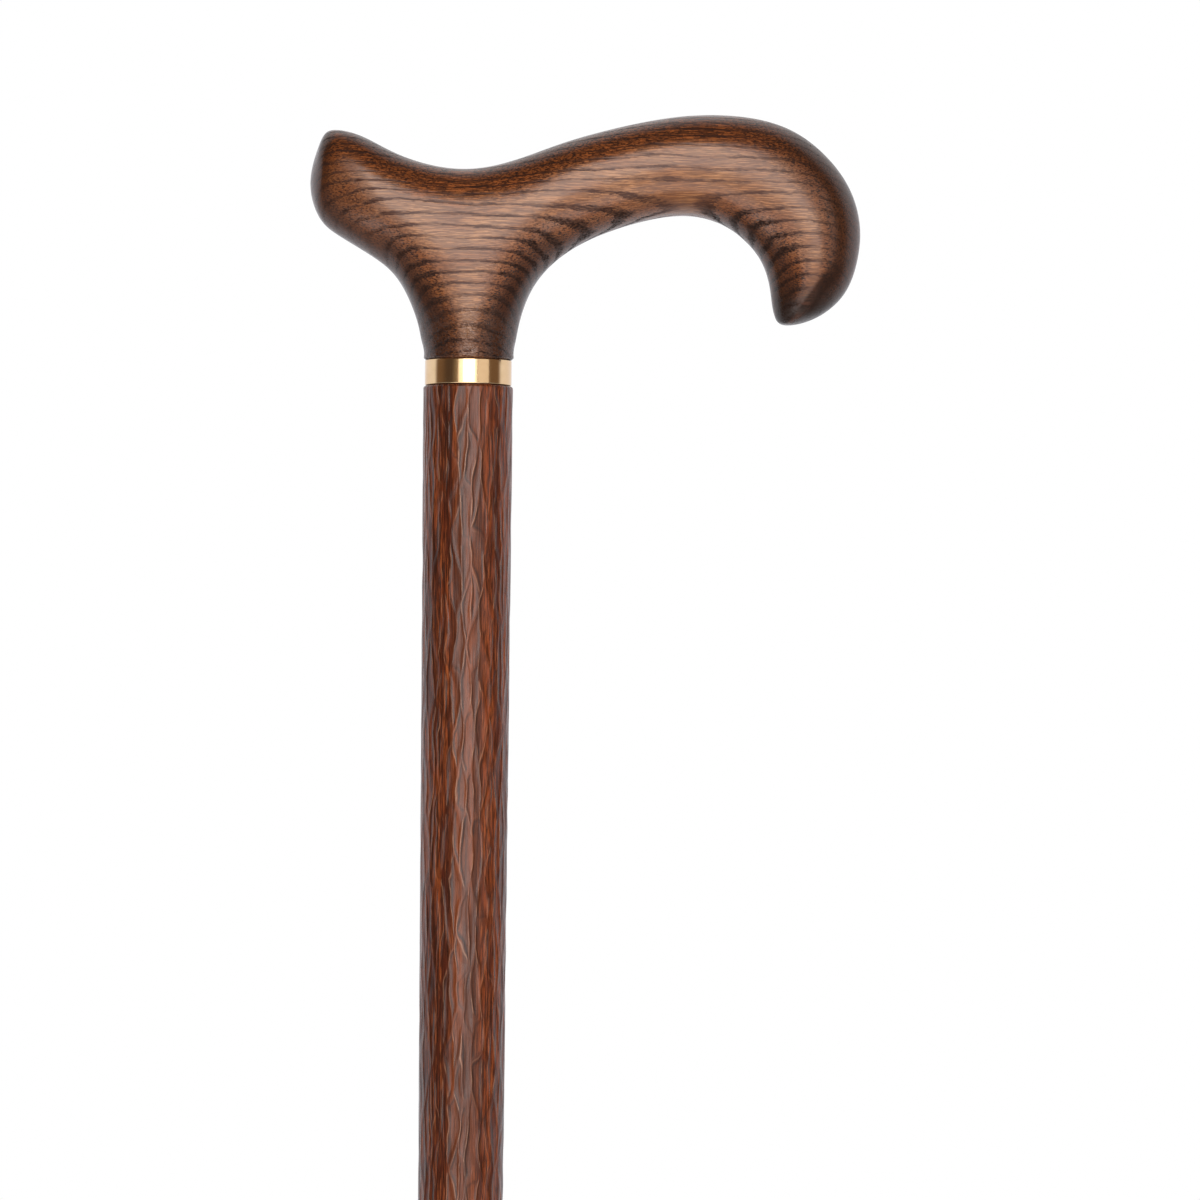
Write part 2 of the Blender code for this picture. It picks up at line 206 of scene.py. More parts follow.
def turned(name, outline, steps, closed=False):
    """Draws half of a round piece as (radius, height, rounding) points and spins it on Z."""
    deselect()
    points = rounded(outline, closed)
    bpy.ops.mesh.primitive_plane_add(size=0.001)
    piece = bpy.context.object
    piece.name = piece.data.name = name
    bpy.ops.object.mode_set(mode="EDIT")
    bpy.ops.mesh.merge(type="CENTER")
    bpy.ops.transform.translate(value=(points[0][0], 0.0, points[0][1]))
    for (r0, z0), (r1, z1) in zip(points, points[1:]):
        step = {"value": (r1 - r0, 0.0, z1 - z0)}
        bpy.ops.mesh.extrude_region_move(TRANSFORM_OT_translate=step)
    bpy.ops.mesh.select_all(action="SELECT")
    bpy.ops.mesh.spin(steps=steps, angle=math.tau, center=(0, 0, 0), axis=(0, 0, 1))
    bpy.ops.mesh.select_all(action="SELECT")
    bpy.ops.mesh.remove_doubles(threshold=WELD_DISTANCE)
    bpy.ops.mesh.normals_make_consistent(inside=False)
    bpy.ops.object.mode_set(mode="OBJECT")
    return piece


def material_of(piece, name):
    """Gives a piece a new material. Returns its shader, and the place on the piece in mm."""
    material = bpy.data.materials.new(name)
    material.use_nodes = True
    piece.data.materials.clear()
    piece.data.materials.append(material)
    tree = material.node_tree
    place = Wire(tree).node("ShaderNodeTexCoord", {}, {}, "Object")
    return tree.nodes["Principled BSDF"], place.scaled(MM_PER_METRE)


def varied(shader, base, rough, relief=None):
    """Links what changes over a surface: its colour, its roughness and its relief in mm."""
    tree = shader.id_data
    tree.links.new(base.socket, shader.inputs["Base Color"])
    tree.links.new(rough.socket, shader.inputs["Roughness"])
    if relief is not None:
        sockets = {"Height": relief, "Distance": 1 / MM_PER_METRE, "Strength": 1.0}
        bump = relief.node("ShaderNodeBump", {}, sockets)
        tree.links.new(bump.socket, shader.inputs["Normal"])


shaft_outline = [
    (0.0, BORE_FLOOR_Z, 0),
    (BORE_RADIUS, BORE_FLOOR_Z, 0),
    (BORE_RADIUS, TENON_TOP_Z, 0),
    (TENON_RADIUS, TENON_TOP_Z, 0),
    (TENON_RADIUS, SHOULDER_Z, 0),
    (SHAFT_TOP_RADIUS, SHOULDER_Z, SHOULDER_ROUNDING),
]
for row in range(1, SHAFT_ROWS):
    share = row / SHAFT_ROWS
    row_radius = SHAFT_TOP_RADIUS + (SHAFT_TIP_RADIUS - SHAFT_TOP_RADIUS) * share
    row_height = SHOULDER_Z + (SHAFT_TIP_Z - SHOULDER_Z) * share
    if row_height < SHOULDER_Z - SHOULDER_ROUNDING:
        shaft_outline.append((row_radius, row_height, 0))
shaft_outline += [
    (SHAFT_TIP_RADIUS, SHAFT_TIP_Z + TIP_CHAMFER, 0),
    (SHAFT_TIP_RADIUS - TIP_CHAMFER, SHAFT_TIP_Z, 0),
    (0.0, SHAFT_TIP_Z, 0),
]
shaft = turned("shaft_wood", shaft_outline, SHAFT_STEPS)


def gouge_marks(place, beside=0.0):
    """The distance from a place, or from one beside it, to the next ridge between strokes.

    The place is in mm, and the distance is in widths of a stroke."""
    outward = place.vector("MULTIPLY", {1: (1.0, 1.0, 0.0)}).vector("NORMALIZE")
    sideways = outward.part("X")
    around = sideways.sums("ARCSINE", sideways) * (SHAFT_TOP_RADIUS * MM_PER_METRE)
    wander = (place.grain((3.0, 3.0, 9.0), detail=1.0, seed=1.0) - 0.5) * STROKE_WANDER_MM
    lift = (place.grain((6.0, 6.0, 30.0), detail=1.0, seed=2.0) - 0.5) * STROKE_LIFT_MM
    across = (around + wander + beside) / (GOUGE_WIDTH * MM_PER_METRE)
    along = (place.part("Z") + lift) / (GOUGE_LENGTH * MM_PER_METRE)
    flat = place.node("ShaderNodeCombineXYZ", {}, {"X": across, "Y": along})
    settings = {"feature": "DISTANCE_TO_EDGE", "voronoi_dimensions": "2D"}
    return place.node("ShaderNodeTexVoronoi", settings, {"Vector": flat, "Scale": 1.0})


carving = bpy.data.node_groups.new("gouge_strokes", "GeometryNodeTree")
for way in ("INPUT", "OUTPUT"):
    carving.interface.new_socket("Geometry", in_out=way, socket_type="NodeSocketGeometry")
entry = Wire(carving).node("NodeGroupInput", {}, {})
metres = entry.node("GeometryNodeInputPosition", {}, {})
uncut = metres.scaled(MM_PER_METRE)
outward = metres.vector("MULTIPLY", {1: (1.0, 1.0, 0.0)})
kept_top = 1 - metres.part("Z").rise(*STROKES_TOP_FADE)
kept_tip = metres.part("Z").rise(*STROKES_TIP_FADE)
outside = outward.length().rise(*STROKES_START_RADIUS)
depth = gouge_marks(uncut).rise(0.0, 0.45) * kept_top * kept_tip * outside
settings = {"data_type": "FLOAT_VECTOR", "domain": "POINT"}
sockets = {"Geometry": entry, "Name": "uncut", "Value": uncut}
marked = entry.node("GeometryNodeStoreNamedAttribute", settings, sockets)
cut = outward.vector("NORMALIZE").scaled(depth * -GOUGE_DEPTH)
carved = entry.node("GeometryNodeSetPosition", {}, {"Geometry": marked, "Offset": cut})
leave = carving.nodes.new("NodeGroupOutput")
carving.links.new(carved.socket, leave.inputs[0])
strokes = shaft.modifiers.new("gouge_strokes", "NODES")
strokes.node_group = carving
bpy.context.view_layer.objects.active = shaft
bpy.ops.object.modifier_apply(modifier=strokes.name)
bpy.ops.object.shade_smooth_by_angle(angle=math.radians(40))

RED_DEEP = colour(81, 31, 14)
RED_LIGHT = colour(134, 61, 25)
STREAK_LIGHT = colour(158, 84, 42)
STREAK_DARK = colour(47, 20, 10)
# A greyer brown down the strip that faces the lamps is a painted sheen.
PAINTED_SHEEN_BROWN = colour(112, 71, 46)
FIBRE_DARK = colour(51, 23, 12)
# Beside each ridge a painted shade line; on the crests a paler colour, partly wear and partly
# painted glint.
RIDGE_SHADE = colour(44, 22, 14)
RIDGE_WEAR_AND_GLINT = colour(188, 142, 112)

shader, place = material_of(shaft, "carved_shaft_wood")
uncut = place.node("ShaderNodeAttribute", {"attribute_name": "uncut"}, {}, "Vector")
from_ridge = gouge_marks(uncut)
# Pale crests on the ridges: partly wear, partly a painted glint that is strongest in the
# middle strip.
ridge = 1 - from_ridge.rise(0.0, 0.06)
ridge = ridge * gouge_marks(uncut, WEAR_GLINT_BESIDE_MM).rise(0.06, 0.13)
# A painted shade line beside each ridge, where its relief would be in shade.
ridge_shade_line = 1 - gouge_marks(uncut, SHADE_BESIDE_MM).rise(0.03, 0.13)
ridge_shade_line = ridge_shade_line * from_ridge.rise(0.05, 0.11)
ridge_mark_patches = uncut.grain((2.0, 2.0, 5.0), detail=2.0, seed=12.0).rise(0.36, 0.58)
streaks = uncut.grain((0.34, 0.34, 10.0), detail=3.0, seed=3.0)
wide_streaks = uncut.grain((2.2, 2.2, 60.0), detail=2.0, seed=8.0)
fibres = uncut.grain((0.24, 0.24, 4.0), detail=2.0, seed=5.0)
forward = place.part("X")
# Darker down the left side, as the camera sees the shaft.
left_band = forward.rise(-10.0, -7.0) * (1 - forward.rise(-5.0, 0.0))
# The sides, as the camera sees the shaft, get painted shade, with stronger streaks and more
# dark fibres; the middle strip that faces the lamps gets a painted sheen of greyer brown.
shaded_sides = abs(forward - 0.5).rise(1.5, 5.0)
red = (wide_streaks - left_band * 0.06).rise(0.38, 0.60).blend(RED_DEEP, RED_LIGHT)
dark_streaks_and_shade = (1 - streaks.rise(0.36, 0.48)) * (0.25 + 0.45 * shaded_sides + 0.25 * left_band)
red = with_stains_and_painted_light(red, [
    (streaks.rise(0.52, 0.66) * (0.25 + 0.45 * shaded_sides), STREAK_LIGHT),
    ((1 - shaded_sides) * 0.30, PAINTED_SHEEN_BROWN),
    (dark_streaks_and_shade, STREAK_DARK),
    ((1 - fibres.rise(0.42, 0.56)) * (0.35 + 0.40 * shaded_sides), FIBRE_DARK),
    (ridge_shade_line * (0.55 + 0.30 * ridge_mark_patches) * (1 - 0.4 * shaded_sides), RIDGE_SHADE),
    (ridge * ridge_mark_patches * (0.58 - 0.13 * shaded_sides), RIDGE_WEAR_AND_GLINT),
])
relief = from_ridge.rise(0.0, 0.28) * -0.080 + fibres * 0.024 + streaks * 0.024
varied(shader, red, 0.22 + 0.12 * fibres, relief)
shader.inputs["Specular IOR Level"].default_value = 0.38
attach(shaft, "stick")
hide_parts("shaft")


# Threaded rod
# A length of zinc-plated steel rod with a rolled thread. It is glued into the bores of the
# shaft and the handle, holds the two together and clamps the collar.

ZINC_LIGHT = colour(206, 207, 204)
ZINC_GREY = colour(176, 178, 180)

shader, place = material_of(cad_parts["threaded_rod"], "rod_zinc_plate")
shader.inputs["Metallic"].default_value = 1.0
haze = place.grain((1.5, 1.5, 1.5), detail=3.0)
lines = place.grain((4.0, 4.0, 0.12), detail=2.0)
zinc = haze.rise(0.35, 0.65).blend(ZINC_LIGHT, ZINC_GREY)
varied(shader, zinc, 0.26 + 0.18 * haze, lines * 0.01)


# Collar
# A band of brass tube, turned, polished and lacquered. It is pressed on the shaft's tenon and
# covers the joint, a hair clear of the wood above and below.

COLLAR_INSIDE = 0.0092
COLLAR_OUTSIDE = 0.0101
COLLAR_BOTTOM_Z = 0.8564
COLLAR_TOP_Z = 0.8623
COLLAR_ROUNDING = 0.0003
COLLAR_STEPS = 192
BRASS_BRIGHT = colour(232, 200, 157)
BRASS_SMUDGED = colour(226, 192, 148)

collar_outline = [
    (COLLAR_INSIDE, COLLAR_TOP_Z, COLLAR_ROUNDING),
    (COLLAR_OUTSIDE, COLLAR_TOP_Z, COLLAR_ROUNDING),
    (COLLAR_OUTSIDE, COLLAR_BOTTOM_Z, COLLAR_ROUNDING),
    (COLLAR_INSIDE, COLLAR_BOTTOM_Z, COLLAR_ROUNDING),
]
collar = turned("brass_collar", collar_outline, COLLAR_STEPS, closed=True)
bpy.ops.object.shade_smooth_by_angle(angle=math.radians(30))
shader, place = material_of(collar, "polished_brass")
shader.inputs["Metallic"].default_value = 1.0
hairlines = place.grain((5.0, 5.0, 0.10), detail=2.0)
smudges = place.grain((4.0, 4.0, 3.0), detail=2.0)
brass = smudges.rise(0.3, 0.7).blend(BRASS_BRIGHT, BRASS_SMUDGED)
varied(shader, brass, 0.10 + 0.06 * smudges, hairlines * 0.0015)
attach(collar, "stick")
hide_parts("collar_band")


# Handle
# One block of ring-porous hardwood, sawn with its grain lengthwise, carved and sanded smooth,
# stained and lacquered. The wide pores of each year's early wood and the end grain took more
# stain, and the lacquer sank into them. Its colour also holds painted shade: on the top and
# the undersides, on the sides that turn away from the front, where it adds to the end grain's
# stain, and in a band beside the nose's highlight. Its foot is flat and bored for the threaded
# rod.

HANDLE_FOOT_Z = 0.8624
SHARP_ANGLE = math.radians(35)

deselect()
handle_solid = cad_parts["handle"]
handle = handle_solid.copy()
handle.data = handle_solid.data.copy()
for key in list(handle.keys()):
    del handle[key]
handle.name = handle.data.name = "handle_wood"
handle.parent = None
bpy.context.scene.collection.objects.link(handle)
handle.select_set(True)
bpy.context.view_layer.objects.active = handle
bpy.ops.object.mode_set(mode="EDIT")
bpy.ops.mesh.select_all(action="SELECT")
bpy.ops.mesh.remove_doubles(threshold=WELD_DISTANCE)
bpy.ops.mesh.tris_convert_to_quads(
    face_threshold=math.radians(30),
    shape_threshold=math.radians(60),
)
bpy.ops.object.mode_set(mode="OBJECT")
shell = handle.data
crease = shell.attributes.new("crease_edge", "FLOAT", "EDGE")
normals_at = {}
for face in shell.polygons:
    for key in face.edge_keys:
        normals_at.setdefault(key, []).append(face.normal.copy())
for edge in shell.edges:
    normals = normals_at[edge.key]
    if len(normals) == 2 and normals[0].angle(normals[1]) > SHARP_ANGLE:
        crease.data[edge.index].value = 1.0
finer = handle.modifiers.new("finer", "SUBSURF")
finer.levels = finer.render_levels = 2
bpy.ops.object.modifier_apply(modifier=finer.name)
bpy.ops.object.shade_smooth_by_angle(angle=math.radians(40))
carved_side = shell.attributes.new("carved_side", "FLOAT_VECTOR", "POINT")
for vertex in shell.vertices:
    carved_side.data[vertex.index].vector = vertex.normal


def mixed_surface(first, second, share):
    """Makes a mix of two shaders the surface, with this share of the second."""
    mixed = first.node("ShaderNodeMixShader", {}, {0: share, 1: first, 2: second})
    surface = mixed.tree.nodes["Material Output"].inputs["Surface"]
    mixed.tree.links.new(mixed.socket, surface)
    return mixed


RING_WIDTH_MM = 2.72
RING_LEAN = 0.72
NOSE_SLOPE = 0.73
WOOD_TAN = colour(147, 90, 49)
WOOD_PALE = colour(178, 120, 74)
FIBRE_BROWN = colour(92, 51, 26)
# The top's colours and its darker pores are painted shade.
TOP_SHADE_LIGHT = colour(156, 82, 38)
TOP_SHADE_DARK = colour(82, 41, 21)
TOP_PORES_SHADED = colour(38, 19, 11)
# End grain and its pores take a darker stain; where the surface turns away from the front the
# darkening is also painted shade.
END_GRAIN_AND_SHADE = colour(124, 65, 29)
END_GRAIN_STEEP_SHADE = colour(62, 31, 16)
END_GRAIN_FLAT = colour(108, 61, 34)
END_PORES_AND_SHADE = colour(34, 17, 9)
SIDE_PORES = colour(80, 47, 33)
# Darker at the neck's foot, the tail and the nose's tip. Painted shade on the neck's sides,
# the undersides, the tail's underside, the nose's back and in a band beside the nose's
# highlight.
NECK_FOOT_DARKER = colour(60, 32, 18)
NECK_SIDE_SHADE = colour(46, 23, 13)
UNDERSIDE_SHADE = colour(82, 47, 29)
TAIL_DARKER = colour(68, 36, 20)
NOSE_BACK_SHADE = colour(40, 22, 14)
NOSE_TIP_DARKER = colour(32, 18, 11)
NOSE_CORNER_SHADE = colour(32, 17, 10)

# Where a point is on the handle, by its place and by the way its side faces
shader, place = material_of(handle, "ring_porous_wood")
side = place.node("ShaderNodeAttribute", {"attribute_name": "carved_side"}, {}, "Vector")
forward = place.part("X")
facing_nose = side.part("X")
facing_up = side.part("Z")
turned_away = abs(facing_nose)
# Surfaces turned towards the ends of the grain, to the left and right as the camera sees the
# handle: end grain, and painted shade as they turn away from the front.
ends = turned_away.rise(0.0, 0.30)
far_ends = turned_away.rise(0.18, 0.52)
end_face = turned_away.rise(0.84, 0.98)
# The top and the undersides carry painted shade.
top = facing_up.rise(0.10, 0.45)
under = 1 - facing_up.rise(-0.95, -0.45)
above_foot = place.part("Z") - HANDLE_FOOT_Z * MM_PER_METRE
neck_foot = 1 - above_foot.rise(2.0, 16.0)
neck = 1 - above_foot.rise(8.0, 22.0)
# The neck's sides carry painted shade.
neck_side_shade = far_ends * above_foot.rise(6.0, 11.0) * (1 - above_foot.rise(15.0, 25.0))
neck_side_shade = neck_side_shade * (1 - forward.rise(18.0, 28.0))
# The nose's tip is darker.
nose_tip = forward.rise(60.0, 72.0) * (1 - above_foot.rise(11.0, 21.0))
# A slanting band beside the nose's highlight is painted shade.
nose_slope = forward - NOSE_SLOPE * above_foot
nose_corner_shade = nose_slope.rise(66.6, 68.2) * (1 - nose_slope.rise(70.2, 72.6))
nose_corner_shade = nose_corner_shade * above_foot.rise(10.0, 13.0) * (1 - above_foot.rise(18.0, 26.0))
# The nose's back carries painted shade.
nose_back = forward.rise(54.0, 66.0) * facing_nose.rise(-0.12, 0.22)
# The tail is darker, and its underside carries painted shade.
tail_end = 1 - forward.rise(-24.0, -8.0)
tail_under = tail_end * (1 - facing_up.rise(-0.80, -0.30))
below = (1 - facing_up.rise(-0.35, 0.10)) * (1 - nose_back) * (1 - tail_end)

# Growth rings that lean across the block, and the pores of early and late wood
swell = place.grain((36.0, 10.0, 10.0), detail=1.0, seed=2.0) - 0.5
ripple = place.grain((7.0, 1.6, 1.6), detail=2.0, seed=4.0) - 0.5
ragged = place.grain((1.2, 0.30, 0.30), detail=2.0, seed=3.0) - 0.5
rings = (place.part("Z") + RING_LEAN * place.part("Y")) / RING_WIDTH_MM
rings = rings + swell * 1.5 + ripple * 0.35 + ragged * (0.22 + 0.25 * ends)
ring = rings.sums("FRACT", rings)
pores = place.grain((3.4, 0.22, 0.22), detail=1.0, seed=6.0)
dots = place.grain((0.72, 0.36, 0.36), detail=1.0, roughness=0.6, seed=13.0)
fibres = place.grain((5.0, 0.24, 0.24), detail=2.0, seed=7.0)
blotches = place.grain((14.0, 5.0, 5.0), detail=2.0, seed=9.0)
strength = place.grain((9.0, 2.0, 2.0), detail=2.0, seed=11.0).rise(0.30, 0.62)
band_end = 0.22 + 0.14 * strength + 0.24 * ends * below
early = ring.rise(0.0, 0.05) * (1 - (ring / band_end).rise(0.55, 1.0))
open_pores = pores.rise(0.40, 0.54)
early_pores = early * (0.24 + 0.42 * strength + 0.48 * open_pores + 0.54 * ends * below)
early_pores = early_pores * (1 - 0.30 * neck - 0.35 * neck_foot)
early_pores = early_pores * (1 + 0.35 * tail_end - 0.95 * tail_under - 0.20 * nose_back)
early_pores = early_pores * (1 - 0.66 * ends * dots.rise(0.44, 0.56))
# More dark pores on the top belong to its painted shade.
late_pores = pores.rise(0.50, 0.62) * (0.42 + 0.38 * top)
late_pores = late_pores + dots.rise(0.51, 0.58) * (0.62 * ends + 0.54 * top).least(0.75)
crackle = place.grain((0.9, 0.9, 0.40), detail=2.0, roughness=0.6, seed=17.0)
crackle = crackle.rise(0.49, 0.55) * neck_foot * (0.40 + 0.60 * early)
late_pores = late_pores.most(crackle)

# The stain, which lies darker on end grain and in pores, and the painted shade on the top, the
# undersides, the sides turned away from the front and beside the nose's highlight
wood = blotches.rise(0.35, 0.65).blend(WOOD_TAN, WOOD_PALE)
top_shaded = fibres.rise(0.42, 0.54).blend(TOP_SHADE_LIGHT, TOP_SHADE_DARK)
pore_stain_and_shade = (ends * (1 - 0.2 * tail_end)).blend(SIDE_PORES, END_PORES_AND_SHADE)
pore_stain_and_shade = (top * 0.8).blend(pore_stain_and_shade, TOP_PORES_SHADED)
wood = with_stains_and_painted_light(wood, [
    (fibres.rise(0.40, 0.54) * 0.60, FIBRE_BROWN),
    (top * 0.90, top_shaded),
    (ends * 0.72, END_GRAIN_AND_SHADE),
    (far_ends * 0.80, END_GRAIN_STEEP_SHADE),
    (neck_foot * 0.40, NECK_FOOT_DARKER),
    (under * 0.40, UNDERSIDE_SHADE),
    (tail_end * 0.22 + tail_under * 0.35, TAIL_DARKER),
    (nose_back * 0.20, NOSE_BACK_SHADE),
    (nose_tip * 0.94, NOSE_TIP_DARKER),
    (nose_corner_shade * 0.85, NOSE_CORNER_SHADE),
    (neck_side_shade * 0.35, NECK_SIDE_SHADE),
    (end_face * 0.60, END_GRAIN_FLAT),
    (late_pores, pore_stain_and_shade),
    (early_pores, pore_stain_and_shade),
])

# The lacquer, and the share of the surface where it sank into the wood
pits = pores * (0.016 + 0.016 * ends) + crackle * 0.20
relief = fibres * 0.012 - early_pores * 0.012 - pits
varied(shader, wood, 0.20 + 0.02 * nose_tip + 0.06 * nose_back, relief)
shader.inputs["IOR"].default_value = 1.5
lacquered = Wire(place.tree, shader.outputs[0])
unfilled = place.node("ShaderNodeBsdfPrincipled", {}, {"Specular IOR Level": 0.1})
varied(unfilled.socket.node, wood, 0.6 + 0.1 * dots, relief)
unfilled_share = early_pores * (0.6 + 0.4 * ends)
for sunken in (
    late_pores * 0.25,
    crackle * 0.9,
    nose_tip * (0.4 - 0.4 * under),
    nose_corner_shade,
    neck_side_shade * 0.55,
):
    unfilled_share = unfilled_share.most(sunken)
unfilled_share = unfilled_share * (0.9 - 0.8 * turned_away.rise(0.55, 0.85))
mixed_surface(lacquered, unfilled, unfilled_share)
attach(handle, "stick")
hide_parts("handle")


# Ferrule
# A moulded rubber tip with a flared foot. It has ribs round its mouth, tread rings under its
# foot and a socket that is stretched over the shaft's smooth tip.

FERRULE_FLOOR = 0.0080
SOCKET_RADIUS = 0.0081
UNDERCUT_RADIUS = 0.0093
MOUTH_Z = 0.0370
MOUTH_INSIDE = 0.008184
MOUTH_OUTSIDE = 0.011484
RIB_PITCH = 0.0032
RIB_GROOVE_RADIUS = 0.010784
RIBBED_BOTTOM_Z = 0.0246
WAIST_RADIUS = 0.010730
FLARE_TOP = 0.0190
FLARE_STEPS = 12
FOOT_RADIUS = 0.0160
FOOT_HEIGHT = 0.0045
TREAD_PITCH = 0.0036
TREAD_DEPTH = 0.0012
GROOVE_HALF_WIDTH = 0.0007
GROOVE_ROUNDING = 0.0002
FERRULE_STEPS = 120
RUBBER_BLACK = colour(38, 38, 39)
RUBBER_BLOOM = colour(52, 51, 50)
SCUFFED = colour(84, 80, 74)

ferrule_outline = [
    (0.0, FERRULE_FLOOR, 0),
    (UNDERCUT_RADIUS, FERRULE_FLOOR, 0),
    (UNDERCUT_RADIUS, SHAFT_TIP_Z, 0),
    (SOCKET_RADIUS, SHAFT_TIP_Z, 0),
    (MOUTH_INSIDE, MOUTH_Z, 0.0004),
    (MOUTH_OUTSIDE, MOUTH_Z, 0.0008),
]
for rib in range(3):
    groove = MOUTH_Z - (rib + 1) * RIB_PITCH
    ferrule_outline += [
        (MOUTH_OUTSIDE, groove + GROOVE_HALF_WIDTH, GROOVE_ROUNDING),
        (RIB_GROOVE_RADIUS, groove, GROOVE_ROUNDING),
        (MOUTH_OUTSIDE, groove - GROOVE_HALF_WIDTH, GROOVE_ROUNDING),
    ]
ferrule_outline += [(MOUTH_OUTSIDE, RIBBED_BOTTOM_Z, 0.0006), (WAIST_RADIUS, FLARE_TOP, 0)]
for step in range(1, FLARE_STEPS):
    angle = math.pi / 2 * step / FLARE_STEPS
    flare_radius = FOOT_RADIUS - (FOOT_RADIUS - WAIST_RADIUS) * math.cos(angle)
    flare_height = FLARE_TOP - (FLARE_TOP - FOOT_HEIGHT) * math.sin(angle)
    ferrule_outline.append((flare_radius, flare_height, 0))
ferrule_outline += [(FOOT_RADIUS, FOOT_HEIGHT, 0.0012), (FOOT_RADIUS, 0.0, 0.0006)]
for tread in (3, 2, 1):
    groove = tread * TREAD_PITCH
    ferrule_outline += [
        (groove + GROOVE_HALF_WIDTH, 0.0, GROOVE_ROUNDING),
        (groove + GROOVE_HALF_WIDTH, TREAD_DEPTH, GROOVE_ROUNDING),
        (groove - GROOVE_HALF_WIDTH, TREAD_DEPTH, GROOVE_ROUNDING),
        (groove - GROOVE_HALF_WIDTH, 0.0, GROOVE_ROUNDING),
    ]
ferrule_outline.append((0.0, 0.0, 0))
ferrule = turned("rubber_ferrule", ferrule_outline, FERRULE_STEPS)
bpy.ops.object.shade_smooth_by_angle(angle=math.radians(35))
shader, place = material_of(ferrule, "moulded_rubber")
bloom = place.grain((5.0, 5.0, 5.0), detail=3.0)
pitting = place.grain((0.25, 0.25, 0.25), detail=3.0)
scuff = 1 - place.part("Z").rise(0.5, 5.0)
rubber = bloom.rise(0.35, 0.7).blend(RUBBER_BLACK, RUBBER_BLOOM)
rubber = (scuff * bloom.rise(0.35, 0.6) * 0.5).blend(rubber, SCUFFED)
varied(shader, rubber, 0.62 + 0.20 * bloom, pitting * 0.02)
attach(ferrule, "ferrule_unit")
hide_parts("ferrule")


# Ferrule washer
# A stamped and zinc-plated steel disc in an undercut of the ferrule's socket. It keeps the
# shaft's tip from cutting through the rubber.

WASHER_RADIUS = 0.0090
WASHER_HOLE_RADIUS = 0.0020
WASHER_TOP_Z = 0.0098
WASHER_BOTTOM_Z = 0.0083
WASHER_STEPS = 96

washer_outline = [
    (WASHER_HOLE_RADIUS, WASHER_TOP_Z, 0.0002),
    (WASHER_RADIUS, WASHER_TOP_Z, 0.0003),
    (WASHER_RADIUS, WASHER_BOTTOM_Z, 0.0003),
    (WASHER_HOLE_RADIUS, WASHER_BOTTOM_Z, 0.0002),
]
washer = turned("steel_washer", washer_outline, WASHER_STEPS, closed=True)
bpy.ops.object.shade_smooth_by_angle(angle=math.radians(35))
shader, place = material_of(washer, "washer_zinc_plate")
shader.inputs["Metallic"].default_value = 1.0
haze = place.grain((1.8, 1.8, 1.8), detail=3.0)
zinc = haze.rise(0.35, 0.65).blend(ZINC_LIGHT, ZINC_GREY)
varied(shader, zinc, 0.28 + 0.18 * haze, haze * 0.01)
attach(washer, "ferrule_unit")
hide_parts("ferrule_washer")


# Studio
# The stick stands upright in front of white paper, a little above the floor, so that its
# ferrule can come off. A softbox with a brighter core is behind the camera, and a panel to
# its right. A softbox far behind the stick and a reflector on the floor light its edges.

FLOOR_Z = -0.040
FLOOR_SIZE = 12.0
WHITE = (1.0, 1.0, 1.0, 1.0)

deselect()
bpy.ops.mesh.primitive_plane_add(size=FLOOR_SIZE, location=(0, 0, FLOOR_Z))
floor = bpy.context.object
floor.name = "floor"
shader, place = material_of(floor, "pale_floor")
shader.inputs["Base Color"].default_value = colour(232, 232, 232)
shader.inputs["Roughness"].default_value = 0.9
lit = Wire(place.tree, shader.outputs[0])
glow = place.node("ShaderNodeEmission", {}, {"Color": (0.92, 0.92, 0.96, 1.0)})
paper = place.node("ShaderNodeEmission", {}, {"Color": WHITE})
seen = place.node("ShaderNodeLightPath", {}, {}, "Is Camera Ray")
mirrored = place.node("ShaderNodeLightPath", {}, {}, "Is Glossy Ray")
behind = place.part("Y").rise(100.0, 700.0)
far_off = place.length().rise(200.0, 2200.0)
reflecting = mixed_surface(lit, glow, mirrored * behind)
mixed_surface(reflecting, paper, seen * (0.55 + 0.45 * far_off))

ROOM_DIM = (0.20, 0.20, 0.20, 1.0)
ROOM_SIDES = (0.19, 0.125, 0.08, 1.0)
ROOM_FRONT_LEFT = (0.09, 0.062, 0.045, 1.0)
ROOM_BEHIND_CAMERA = (0.40, 0.32, 0.23, 1.0)
BACKDROP_LOW = (0.95, 0.95, 1.00, 1.0)
BACKDROP_HIGH = (1.02, 0.99, 0.98, 1.0)

world = bpy.data.worlds.new("white_studio")
bpy.context.scene.world = world
world.use_nodes = True
direction = Wire(world.node_tree).node("ShaderNodeTexCoord", {}, {}, "Generated")
seen = direction.node("ShaderNodeLightPath", {}, {}, "Is Camera Ray")
mirrored = direction.node("ShaderNodeLightPath", {}, {}, "Is Glossy Ray")
up = direction.part("Z")
behind = direction.part("Y").rise(-0.05, 0.20) * (1 - 0.50 * up.rise(0.86, 0.96))
front = direction.part("Y") * -1
left = 1 - direction.part("X").rise(-0.5, 0.1)
backdrop = up.rise(0.15, 0.55).blend(BACKDROP_LOW, BACKDROP_HIGH)
around = (front.rise(0.2, 0.6) * left).blend(ROOM_SIDES, ROOM_FRONT_LEFT)
around = (front.rise(0.70, 0.98) * left).blend(around, ROOM_BEHIND_CAMERA)
around = behind.blend(around, backdrop)
light = seen.most(mirrored).blend(ROOM_DIM, around)
light = seen.blend(light, WHITE)
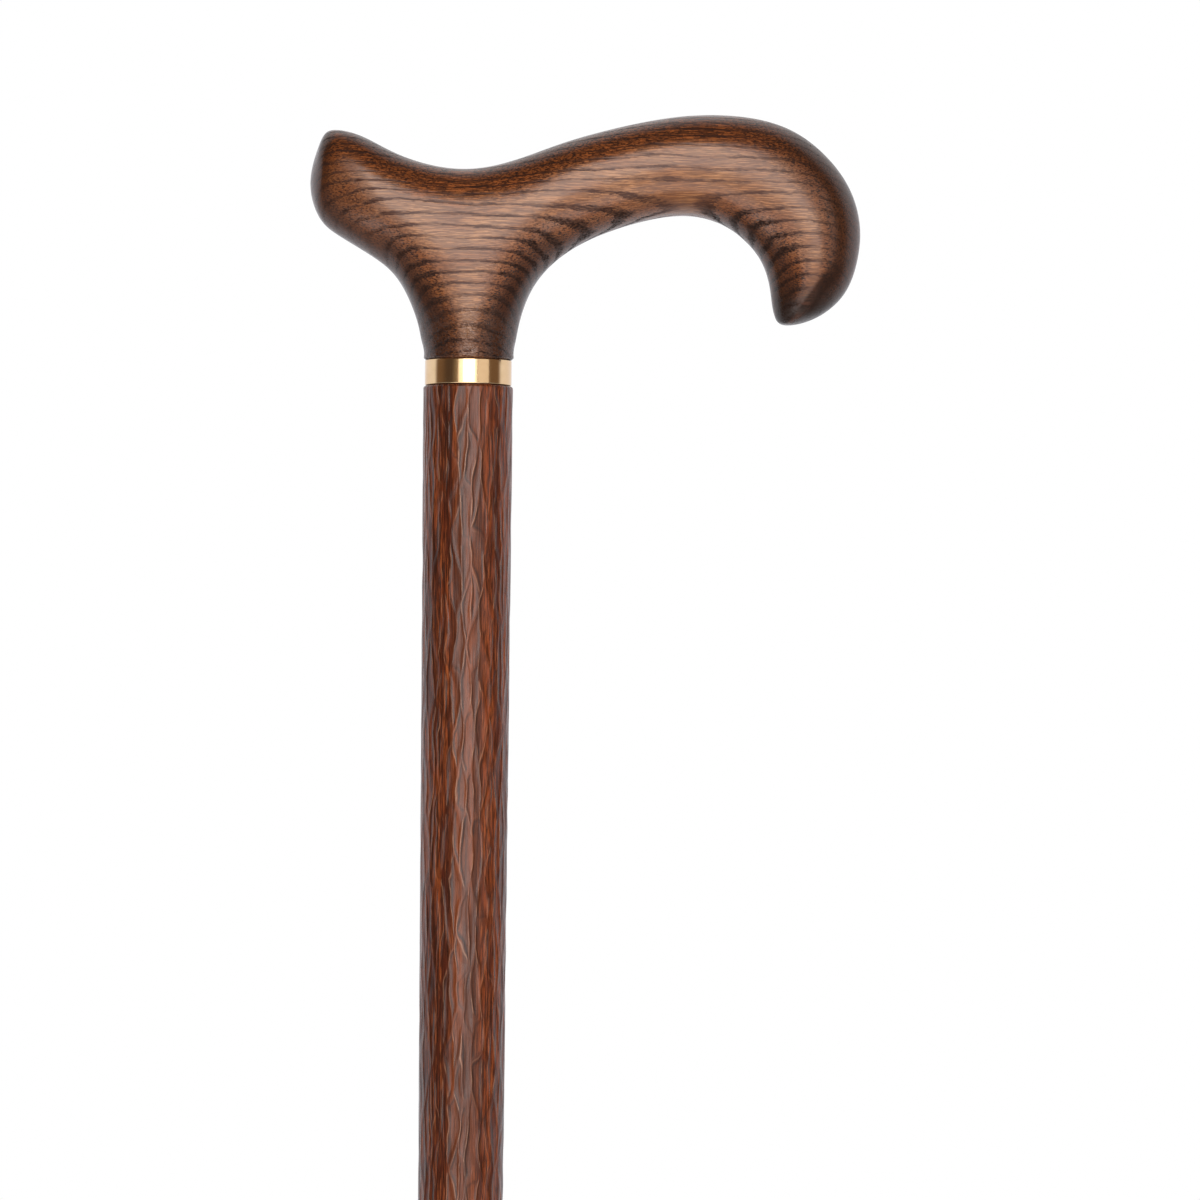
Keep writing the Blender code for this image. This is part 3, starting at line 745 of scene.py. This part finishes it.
background = world.node_tree.nodes["Background"]
world.node_tree.links.new(light.socket, background.inputs["Color"])

bpy.context.scene.view_settings.view_transform = "Standard"


def panel(name, azimuth, away, centre_z, size, radiance):
    """A flat lamp that faces the handle, turned to the right of the camera's direction."""
    lamp = bpy.data.lights.new(name, "AREA")
    lamp.shape = "RECTANGLE"
    lamp.size, lamp.size_y = size
    lamp.energy = radiance * math.pi * size[0] * size[1]
    stand = bpy.data.objects.new(name, lamp)
    bpy.context.scene.collection.objects.link(stand)
    angle = math.radians(azimuth)
    stand.location = (away * math.sin(angle), -away * math.cos(angle), centre_z)
    stand.rotation_euler = (math.pi / 2, 0.0, angle)
    stand.visible_camera = False
    return stand


panel("softbox", 0.0, away=1.8, centre_z=1.06, size=(1.66, 2.0), radiance=1.5)
panel("softbox_core", 3.0, away=1.8, centre_z=1.32, size=(0.98, 1.42), radiance=2.6)
panel("side_panel", 42.0, away=1.8, centre_z=1.1, size=(1.0, 1.6), radiance=0.78)
lamp = panel("back_softbox", 180.0, away=1.8, centre_z=1.35, size=(1.95, 2.3), radiance=2.4)
lamp.visible_glossy = False
lamp = panel("floor_reflector", -1.5, away=1.15, centre_z=-0.03, size=(1.8, 1.1), radiance=1.5)
lamp.rotation_euler = (math.pi, 0.0, 0.0)

VIEW_CENTRE = Vector((0.03113, 0.0, 0.8068))
VIEW_DISTANCE = 1.5
VIEW_PITCH = math.radians(1.43)
VIEW_ROLL = math.radians(0.51)
VIEW_LENS = 193.5

lens = bpy.data.cameras.new("camera")
lens.lens = VIEW_LENS
lens.sensor_width = 36.0
camera = bpy.data.objects.new("camera", lens)
bpy.context.scene.collection.objects.link(camera)
back = Vector((0.0, -math.cos(VIEW_PITCH), -math.sin(VIEW_PITCH)))
roll = Quaternion((0, 0, 1), VIEW_ROLL)
camera.location = VIEW_CENTRE + back * VIEW_DISTANCE
camera.rotation_mode = "QUATERNION"
camera.rotation_quaternion = (-back).to_track_quat("-Z", "Y") @ roll
bpy.context.scene.camera = camera
